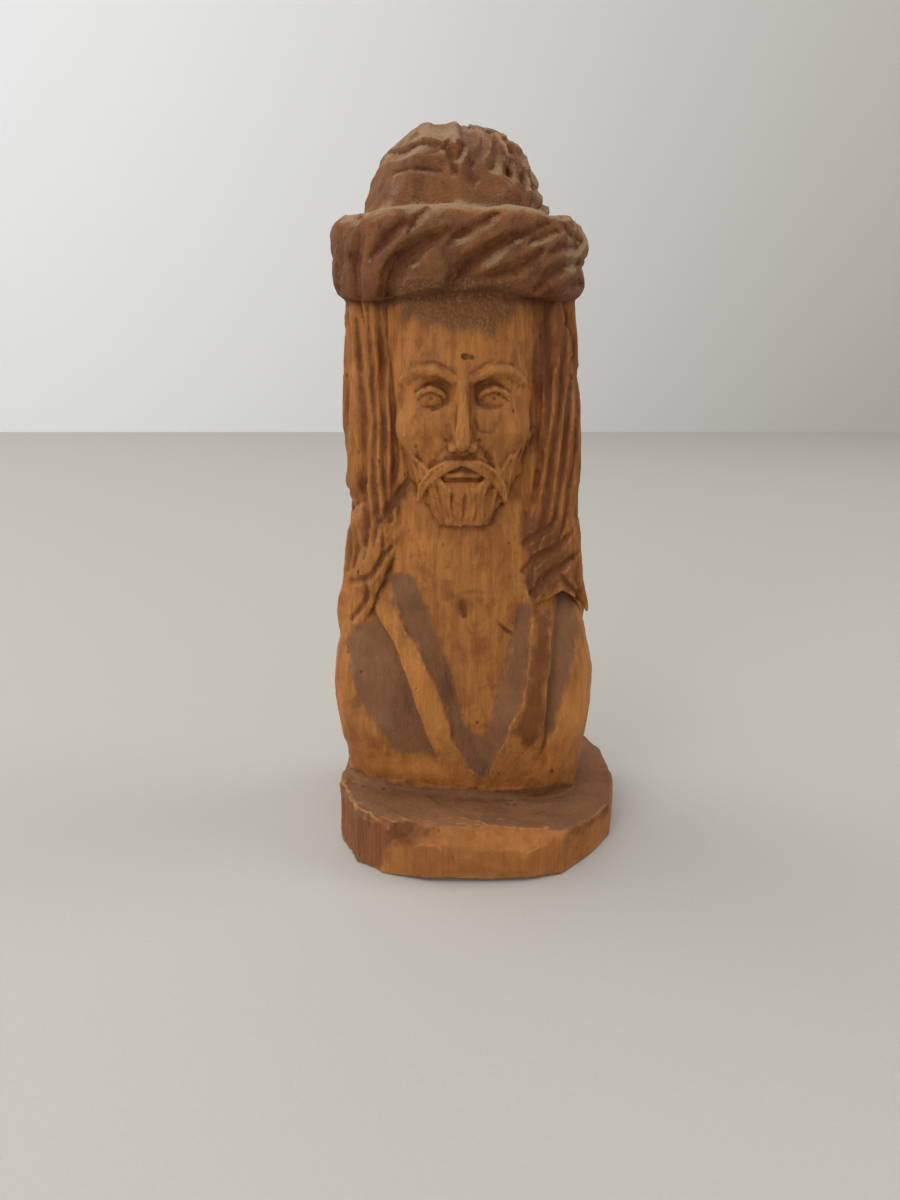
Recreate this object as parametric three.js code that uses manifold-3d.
// A carved wooden bust of a bearded saint in a turban, cut with its low plinth from one block.
// Millimetres, +Z up. The figure faces -Y, and the origin is at the middle of the underside.
import * as THREE from "three";
import { mergeVertices } from "three/addons/utils/BufferGeometryUtils.js";
import Module from "manifold-3d";

const wasm = await Module();
wasm.setup();

// Driving dimensions: the block, and the levels that the carver marked on it.
const HEIGHT = 160;
const PLINTH_TOP = 12.4;
const V_TIP = 17.5; // where the two edges of the robe meet
const BEARD_TIP = 78;
const ROLL_LOW = 125;
const ROLL_TOP = 141.5;
const AXIS = [[0, -3.6], [70, -3.9], [HEIGHT, -5.4]]; // x of the figure's middle at each level

// Plinth: its outline seen from above, and how its top face falls from left to right.
const PLINTH_OUTLINE = [
  [-12, -29.8],
  [11, -30.4],
  [18.5, -27.8],
  [26, -19.4],
  [32, -10.5],
  [34.37, 1],
  [34, 18],
  [29, 27.8],
  [8, 30.57],
  [-14, 30.2],
  [-28, 25],
  [-33.3, 10],
  [-33.4, -12],
  [-29, -22.6],
];
const PLINTH_COLUMNS = 56;
const PLINTH_FALL = 0.08; // mm of drop for each mm across
const PLINTH_CHAMFER = 1;

// Torso: half width, front and back reach at each level.
const TORSO_LOW = 9;
const TORSO_TOP = 67;
const TORSO_HALF = [[TORSO_LOW, 27.6], [20, 29.2], [34, 31], [42, 31], [50, 29], [58, 25.8], [63, 23.3], [TORSO_TOP, 20]];
const TORSO_FRONT = [[TORSO_LOW, 12.5], [20, 15.5], [32, 18.6], [44, 18.6], [54, 17], [62, 14.4], [TORSO_TOP, 10]];
const TORSO_BACK = [[TORSO_LOW, 20], [20, 22], [36, 23.5], [48, 22.5], [58, 18], [TORSO_TOP, 12]];

// Robe: the lines cut down its front, from left to right, as [z, x, how far below the plain cloth].
const ROBE_LINES = [
  [[16, -23, 0], [28, -26, 0.3], [44, -28, 0.6], [60, -28.5, 0.6]], // outer side of the left panel
  [[16, -17, 0], [28, -19, 1], [44, -22, 1.4], [60, -27, 1.2]], // middle of the left panel
  [[16, -7.6, 0], [24, -10.4, 1.8], [44, -16.1, 2.6], [63, -24.4, 2]], // foot of the left band
  [[16, -6, 0], [24, -9, 0], [44, -15.3, 0], [63, -23.6, 0]], // outer edge of the left band
  [[16, 0.6, 0], [24, -4, 0], [44, -9.3, 0], [63, -20.4, 0]], // inner edge of the left band
  [[16, 1.2, 0], [24, 0.6, 3], [43, -2.4, 5.4], [63, -15.4, 4]], // left side of the bare chest
  [[16, 1.5, 0], [24, 1.6, 3.1], [43, 3.3, 5], [63, -1.5, 2.9]], // middle of the chest
  [[16, 1.8, 0], [24, 2.8, 3], [43, 9, 5.4], [52, 12, 5], [63, 13.4, 4]], // right side of the bare chest
  [[16, 2.6, 0], [24, 6, 0], [43, 11.8, 0], [60, 16.9, 0]], // inner edge of the right band
  [[16, 5.6, 0], [24, 9.4, 0], [43, 16.8, 0], [60, 19.9, 0]], // outer edge of the right band
  [[16, 8, 0], [25, 12.6, 2], [43, 18.4, 3], [60, 21.6, 2.6]], // bottom of the right groove
  [[16, 12, 0], [25, 15.6, 0.2], [43, 21.2, 0.4], [60, 23.4, 0.6]], // outer side of the right groove
];

// Hair: long locks that fall from under the turban to the shoulders.
const HAIR_TOP = 134;
const HAIR_LOW = 46;
const HAIR_PARTS_AT = 73; // level at which the hair leaves the sides of the neck
const LOCKS = 22;
const LOCK_DEPTH = 2.4;
const HAIR_HALF = [[HAIR_LOW, 29.3], [56, 30], [64, 28.6], [78, 27], [98, 27.2], [112, 26.4], [HAIR_TOP, 24.4]];
const HAIR_FRONT = [[HAIR_LOW, 16], [56, 17.5], [66, 15.5], [78, 13.5], [98, 13.5], [HAIR_TOP, 11]];
const HAIR_BACK = [[HAIR_LOW, 24.5], [72, 24], [100, 23], [HAIR_TOP, 20]];

// Head: the face is a block divided in thirds at the brow and under the nose.
const FACE_HALF = 16.4;
const FACE_FRONT = 19.4; // reach of the cheeks in front of the axis
const FACE_TOP = 133;
const FACE_FULL = 0.62; // share of the face's height below which it narrows to the beard
const NECK_LOW = 40;
const NECK_TOP = 92;
const NECK_HALF = [[NECK_LOW, 11], [60, 17.2], [72, 16.2], [NECK_TOP, 15]];
const NECK_FRONT = [[NECK_LOW, 10], [54, 13], [62, 13], [72, 11.6], [NECK_TOP, 12]];

// Turban: the twisted roll round the head, and the cap above it.
const ROLL_HALF = 27.5;
const ROLL_DEPTH = 24.6;
const ROLL_THICK = 5.6;
const ROLL_STRANDS = 12;
const ROLL_TURNS = 4; // strands that a groove passes in going once round the roll
const STRAND_DEPTH = 2;
const CAP_CENTRE = new THREE.Vector3(-6.2, 0.5, 138.5);
const CAP_RADII = new THREE.Vector3(19.4, 18, HEIGHT - 138.5);
const CAP_FOLDS = 22;
const FOLD_DEPTH = 1.7;

const LEAST_EDGE = 0.08;

const lerp = THREE.MathUtils.lerp;
const smoothstep = THREE.MathUtils.smoothstep;
const bump = (x, width) => Math.exp(-((x / width) ** 2));

// The value at z of a smooth line through rows of [z, value, another value].
function along(rows, z, which = 1) {
  const last = rows.length - 1;
  if (z <= rows[0][0]) return rows[0][which];
  if (z >= rows[last][0]) return rows[last][which];
  const i = rows.findIndex(([level]) => level > z);
  const [below, above] = [rows[i - 1], rows[i]];
  const share = (z - below[0]) / (above[0] - below[0]);
  return lerp(below[which], above[which], lerp(share, smoothstep(share, 0, 1), 0.5));
}

// 0 on the ridge of each lock or strand and 1 in the cut between two of them.
function cut(phase, sharpness = 1.6) {
  return Math.abs(2 * (phase - Math.floor(phase)) - 1) ** sharpness;
}

// A point of a rounded rectangle: angle 0 is the front, and 90 degrees is +X.
function ringPoint(angle, half, front, back, z, squareness = 2.6) {
  const s = Math.sin(angle);
  const c = Math.cos(angle);
  const k = (Math.abs(s) ** squareness + Math.abs(c) ** squareness) ** (-1 / squareness);
  return new THREE.Vector3(along(AXIS, z) + half * s * k, -(c > 0 ? front : back) * c * k, z);
}

function reshape(geometry, move) {
  const position = geometry.getAttribute("position");
  const point = new THREE.Vector3();
  for (let i = 0; i < position.count; i++) {
    const moved = move(point.fromBufferAttribute(position, i));
    position.setXYZ(i, moved.x, moved.y, moved.z);
  }
  return geometry;
}

// A closed drum whose skin is at(angle, share of the height from 0 to 1); rim is 0 at the middle of each end.
function drum(columns, rows, at) {
  return reshape(new THREE.CylinderGeometry(1, 1, 1, columns, rows), (p) => {
    const rim = Math.round(Math.hypot(p.x, p.z));
    return at(Math.atan2(p.x, p.z), p.y + 0.5, rim);
  });
}

function solid(geometry) {
  const bare = geometry.index ? geometry.toNonIndexed() : geometry;
  bare.deleteAttribute("normal");
  bare.deleteAttribute("uv");
  const merged = mergeVertices(bare, 1e-3);
  return new wasm.Manifold(
    new wasm.Mesh({
      numProp: 3,
      vertProperties: merged.attributes.position.array,
      triVerts: new Uint32Array(merged.index.array),
    }),
  );
}

// Cuts that graze a surface leave slivers: each edge under LEAST_EDGE shrinks to a point,
// unless that would pinch the surface.
function withoutSlivers(points, faces) {
  const touching = points.map(() => new Set());
  faces.forEach((face, f) => face.forEach((v) => touching[v].add(f)));
  const ring = (v) => new Set([...touching[v]].flatMap((f) => faces[f]));
  for (const face of faces) {
    for (let side = 0; side < 3; side++) {
      const [keep, drop] = [face[side], face[(side + 1) % 3]];
      if (keep === drop || points[keep].distanceTo(points[drop]) > LEAST_EDGE) continue;
      const dropRing = ring(drop);
      const shared = [...ring(keep)].filter((v) => dropRing.has(v) && v !== keep && v !== drop);
      if (shared.length !== 2) continue;
      for (const f of touching[drop]) {
        if (faces[f].includes(keep)) {
          faces[f].forEach((v) => v !== drop && touching[v].delete(f));
          faces[f].fill(-1);
        } else {
          faces[f][faces[f].indexOf(drop)] = keep;
          touching[keep].add(f);
        }
      }
      touching[drop].clear();
      break;
    }
  }
  return faces.filter(([v]) => v >= 0);
}

function geometryOf(manifold) {
  const { vertProperties, triVerts, numVert, numTri } = manifold.getMesh();
  const points = Array.from({ length: numVert }, (_, v) => new THREE.Vector3().fromArray(vertProperties, v * 3));
  const faces = Array.from({ length: numTri }, (_, f) => [...triVerts.slice(f * 3, f * 3 + 3)]);
  const geometry = new THREE.BufferGeometry().setFromPoints(points);
  geometry.setIndex(withoutSlivers(points, faces).flat());
  geometry.computeVertexNormals();
  return geometry;
}

const plinthTop = (x) => PLINTH_TOP - PLINTH_FALL * x;

function plinth() {
  const corners = PLINTH_OUTLINE.map(([x, y]) => new THREE.Vector3(x, y, 0));
  const outline = new THREE.CatmullRomCurve3(corners, true, "centripetal");
  const rows = 2;
  return drum(PLINTH_COLUMNS, rows, (angle, t, rim) => {
    const turn = (angle / (2 * Math.PI) + 1) % 1;
    const p = outline.getPointAt(turn).multiplyScalar(rim);
    if (t === 1) p.multiplyScalar(1 - PLINTH_CHAMFER / 30);
    p.z = t === 0 ? 0 : plinthTop(p.x) - (t === 1 ? 0 : PLINTH_CHAMFER);
    return p;
  });
}

const TORSO_SQUARENESS = 3;

// Y of the plain robe's front at x and z.
function robeFront(x, z) {
  const share = Math.min(Math.abs(x - along(AXIS, z)) / along(TORSO_HALF, z), 0.999);
  return -along(TORSO_FRONT, z) * (1 - share ** TORSO_SQUARENESS) ** (1 / TORSO_SQUARENESS);
}

// The columns of the torso's front follow the robe lines, and the others go round its back.
function torso() {
  const backColumns = 28;
  const [firstTurn, lastTurn] = [0.17, 0.83];
  const columns = ROBE_LINES.length + backColumns;
  const span = (2 * Math.PI) / columns;
  return drum(columns, 18, (angle, t, rim) => {
    const z = lerp(TORSO_LOW, TORSO_TOP, t);
    if (!rim) return new THREE.Vector3(along(AXIS, z), 0, z);
    const column = Math.round(angle / span + columns) % columns;
    if (column < ROBE_LINES.length) {
      const x = along(ROBE_LINES[column], z);
      return new THREE.Vector3(x, robeFront(x, z) + along(ROBE_LINES[column], z, 2), z);
    }
    const backShare = (column - ROBE_LINES.length) / (backColumns - 1);
    const turn = lerp(firstTurn, lastTurn, backShare) * 2 * Math.PI;
    return ringPoint(
      turn,
      along(TORSO_HALF, z),
      along(TORSO_FRONT, z),
      along(TORSO_BACK, z),
      z,
      TORSO_SQUARENESS,
    );
  });
}

function neck() {
  return drum(24, 8, (angle, t, rim) => {
    const z = lerp(NECK_LOW, NECK_TOP, t);
    const size = rim || 1e-6;
    return ringPoint(angle, size * along(NECK_HALF, z), size * along(NECK_FRONT, z), size * 6, z, 2.3);
  });
}

// The locks stand forward beside the face, and end on the shoulders.
function hair() {
  const columnsPerLock = 4;
  const neckSide = 16.5;
  return drum(LOCKS * columnsPerLock, 14, (angle, t, rim) => {
    if (!rim) return new THREE.Vector3(along(AXIS, HAIR_LOW), 4, t ? HAIR_TOP : HAIR_LOW);
    const facing = Math.cos(angle) > 0;
    const out = Math.abs(ringPoint(angle, HAIR_HALF[0][1], 1, 1, 0, 3).x - along(AXIS, 0));
    const low = facing ? lerp(HAIR_PARTS_AT, HAIR_LOW + 2, smoothstep(out, neckSide, 27)) : HAIR_LOW + 2;
    const lock = cut((angle / (2 * Math.PI)) * LOCKS);
    const z = lerp(low + 2 * lock, HAIR_TOP, t);
    const swayed = angle + 0.035 * Math.sin((z - HAIR_LOW) / 13 + 2 * angle);
    const ends = smoothstep(1 - t, 0, 0.12) * smoothstep(t, -0.1, 0.15);
    const depth = LOCK_DEPTH * lock * ends;
    const behindFace = facing ? 1 - smoothstep(out, neckSide - 1, neckSide + 5) : 0;
    const front = lerp(along(HAIR_FRONT, z), 6, behindFace) - depth;
    return ringPoint(swayed, along(HAIR_HALF, z) - depth, front, along(HAIR_BACK, z) - depth, z, 3);
  });
}

// How far the features stand in front of the plain face, in mm; u runs across from -1 to 1,
// and v up from 0 at the tip of the beard to 1 at the hairline.
function features(u, v) {
  const across = Math.abs(u);
  const noseFoot = 1 / 3;
  const brow = 2 / 3;
  const onNose = smoothstep(v, noseFoot - 0.03, noseFoot + 0.01) * (1 - smoothstep(v, brow - 0.06, brow + 0.05));
  const noseShare = smoothstep(v, noseFoot, brow);
  const nose = onNose * lerp(5.4, 2, noseShare) * bump(u, lerp(0.2, 0.11, noseShare));
  const browLine = 1.5 * bump(v - brow, 0.045) * smoothstep(0.9 - across, 0, 0.3);
  const socket = -3 * bump(v - 0.58, 0.06) * bump(across - 0.38, 0.25);
  const eye = 1.7 * bump(v - 0.57, 0.028) * bump(across - 0.4, 0.17);
  const moustache = 2 * bump(v - 0.29 + 0.2 * across * across, 0.035) * smoothstep(0.7 - across, 0, 0.3);
  const mouth = -2 * bump(v - 0.225, 0.018) * bump(u, 0.3);
  const lip = 1.2 * bump(v - 0.19, 0.02) * bump(u, 0.25);
  const beardEdge = lerp(0.13, 0.46, smoothstep(across, 0.15, 0.95));
  const bearded = 1 - smoothstep(v, beardEdge - 0.03, beardEdge + 0.015);
  const beard = bearded * (1.5 - 1.1 * cut(u * 5.5 + 0.5, 1.4));
  return nose + browLine + socket + eye + moustache + mouth + lip + beard;
}

function head() {
  const rows = 33;
  const columns = 44;
  const frontColumns = 34; // the rest are inside the hair
  const [throatY, throatRise] = [-8, 4];
  return drum(columns, rows, (angle, t, rim) => {
    const z = lerp(BEARD_TIP, FACE_TOP, t);
    const x = along(AXIS, z);
    const v = (z - BEARD_TIP) / (ROLL_LOW + 1 - BEARD_TIP);
    if (!rim) return new THREE.Vector3(x, throatY, t ? z : z + throatRise);
    const narrowing = Math.max(0, 1 - (v + 0.05) / FACE_FULL);
    const half = FACE_HALF * (1 - narrowing ** 2.5) ** (1 / 2.5);
    const u = Math.round((angle / (2 * Math.PI)) * columns) / (frontColumns / 2);
    if (Math.abs(u) > 1) return new THREE.Vector3(x + Math.sin(angle) * half, 3, t ? z : z + throatRise);
    const lean = -2.4 * smoothstep(v, 0.62, 1) - 2.5 * smoothstep(0.16 - v, 0, 0.2);
    const reach = (FACE_FRONT + lean) * (1 - Math.abs(u) ** 3.4 * 0.72) + features(u, v);
    return new THREE.Vector3(x + half * Math.sin((u * Math.PI) / 2), -reach, z);
  });
}

// The roll: strands twisted round a ring that lies on the head.
function turbanRoll() {
  const columnsPerStrand = 4;
  const around = 12;
  const middle = (ROLL_LOW + ROLL_TOP) / 2;
  const tall = (ROLL_TOP - ROLL_LOW) / 2;
  const columns = ROLL_STRANDS * columnsPerStrand;
  return reshape(new THREE.TorusGeometry(2, 1, around, columns), (p) => {
    const tube = Math.atan2(p.z, Math.hypot(p.x, p.y) - 2);
    const ringTurn = Math.atan2(p.x, -p.y);
    const sheared = ringTurn + (tube / ROLL_STRANDS) * ROLL_TURNS;
    const depth = STRAND_DEPTH * cut((ringTurn / (2 * Math.PI)) * ROLL_STRANDS, 1.5);
    const thick = (ROLL_THICK - depth) * Math.abs(Math.cos(tube)) ** 0.8 * Math.sign(Math.cos(tube));
    const rise = (tall - depth * 0.6) * Math.abs(Math.sin(tube)) ** 0.8 * Math.sign(Math.sin(tube));
    const half = ROLL_HALF - ROLL_THICK + thick;
    const reach = ROLL_DEPTH - ROLL_THICK + thick;
    return ringPoint(sheared, half, reach, reach, middle + rise, 2.4);
  });
}

// The cap: folds gathered at the crown, and one smooth cut face at the front left. Its foot goes
// straight down inside the roll.
function cap() {
  const columns = CAP_FOLDS * 2;
  return reshape(new THREE.SphereGeometry(1, columns, 14), (p) => {
    const angle = Math.atan2(p.x, p.z);
    const flank = Math.hypot(p.x, p.z);
    const turned = (angle + 0.7 + 2 * Math.PI) % (2 * Math.PI);
    const folded = smoothstep(turned, 0.75, 1.15) * (1 - smoothstep(turned, 5.2, 5.6));
    const ends = smoothstep(flank, 0.12, 0.5) * smoothstep(p.y, 0, 0.2);
    const dip = FOLD_DEPTH * folded * cut((angle / (2 * Math.PI)) * CAP_FOLDS, 1.2) * ends;
    const level = p.y > 0 ? p.y ** 0.92 : p.y * 0.4;
    const out = p.y > 0 || flank < 0.01 ? flank ** 0.82 : 1;
    const s = flank > 1e-6 ? p.x / flank : 0;
    const c = flank > 1e-6 ? p.z / flank : 0;
    return new THREE.Vector3(
      CAP_CENTRE.x + s * (CAP_RADII.x * out - dip),
      CAP_CENTRE.y - c * (CAP_RADII.y * out - dip),
      CAP_CENTRE.z + (CAP_RADII.z - dip * 0.5) * level,
    );
  });
}

const forms = [torso(), plinth(), neck(), hair(), head(), turbanRoll(), cap()].map(solid);
const block = forms.reduce((whole, form) => whole.add(form));

const wood = new THREE.MeshStandardMaterial({ color: 0xa8692f, roughness: 0.62, metalness: 0 });
const bust = new THREE.Mesh(geometryOf(block), wood);
bust.name = "carved_bust";

const part = new THREE.Group();
part.add(bust);

export default part;
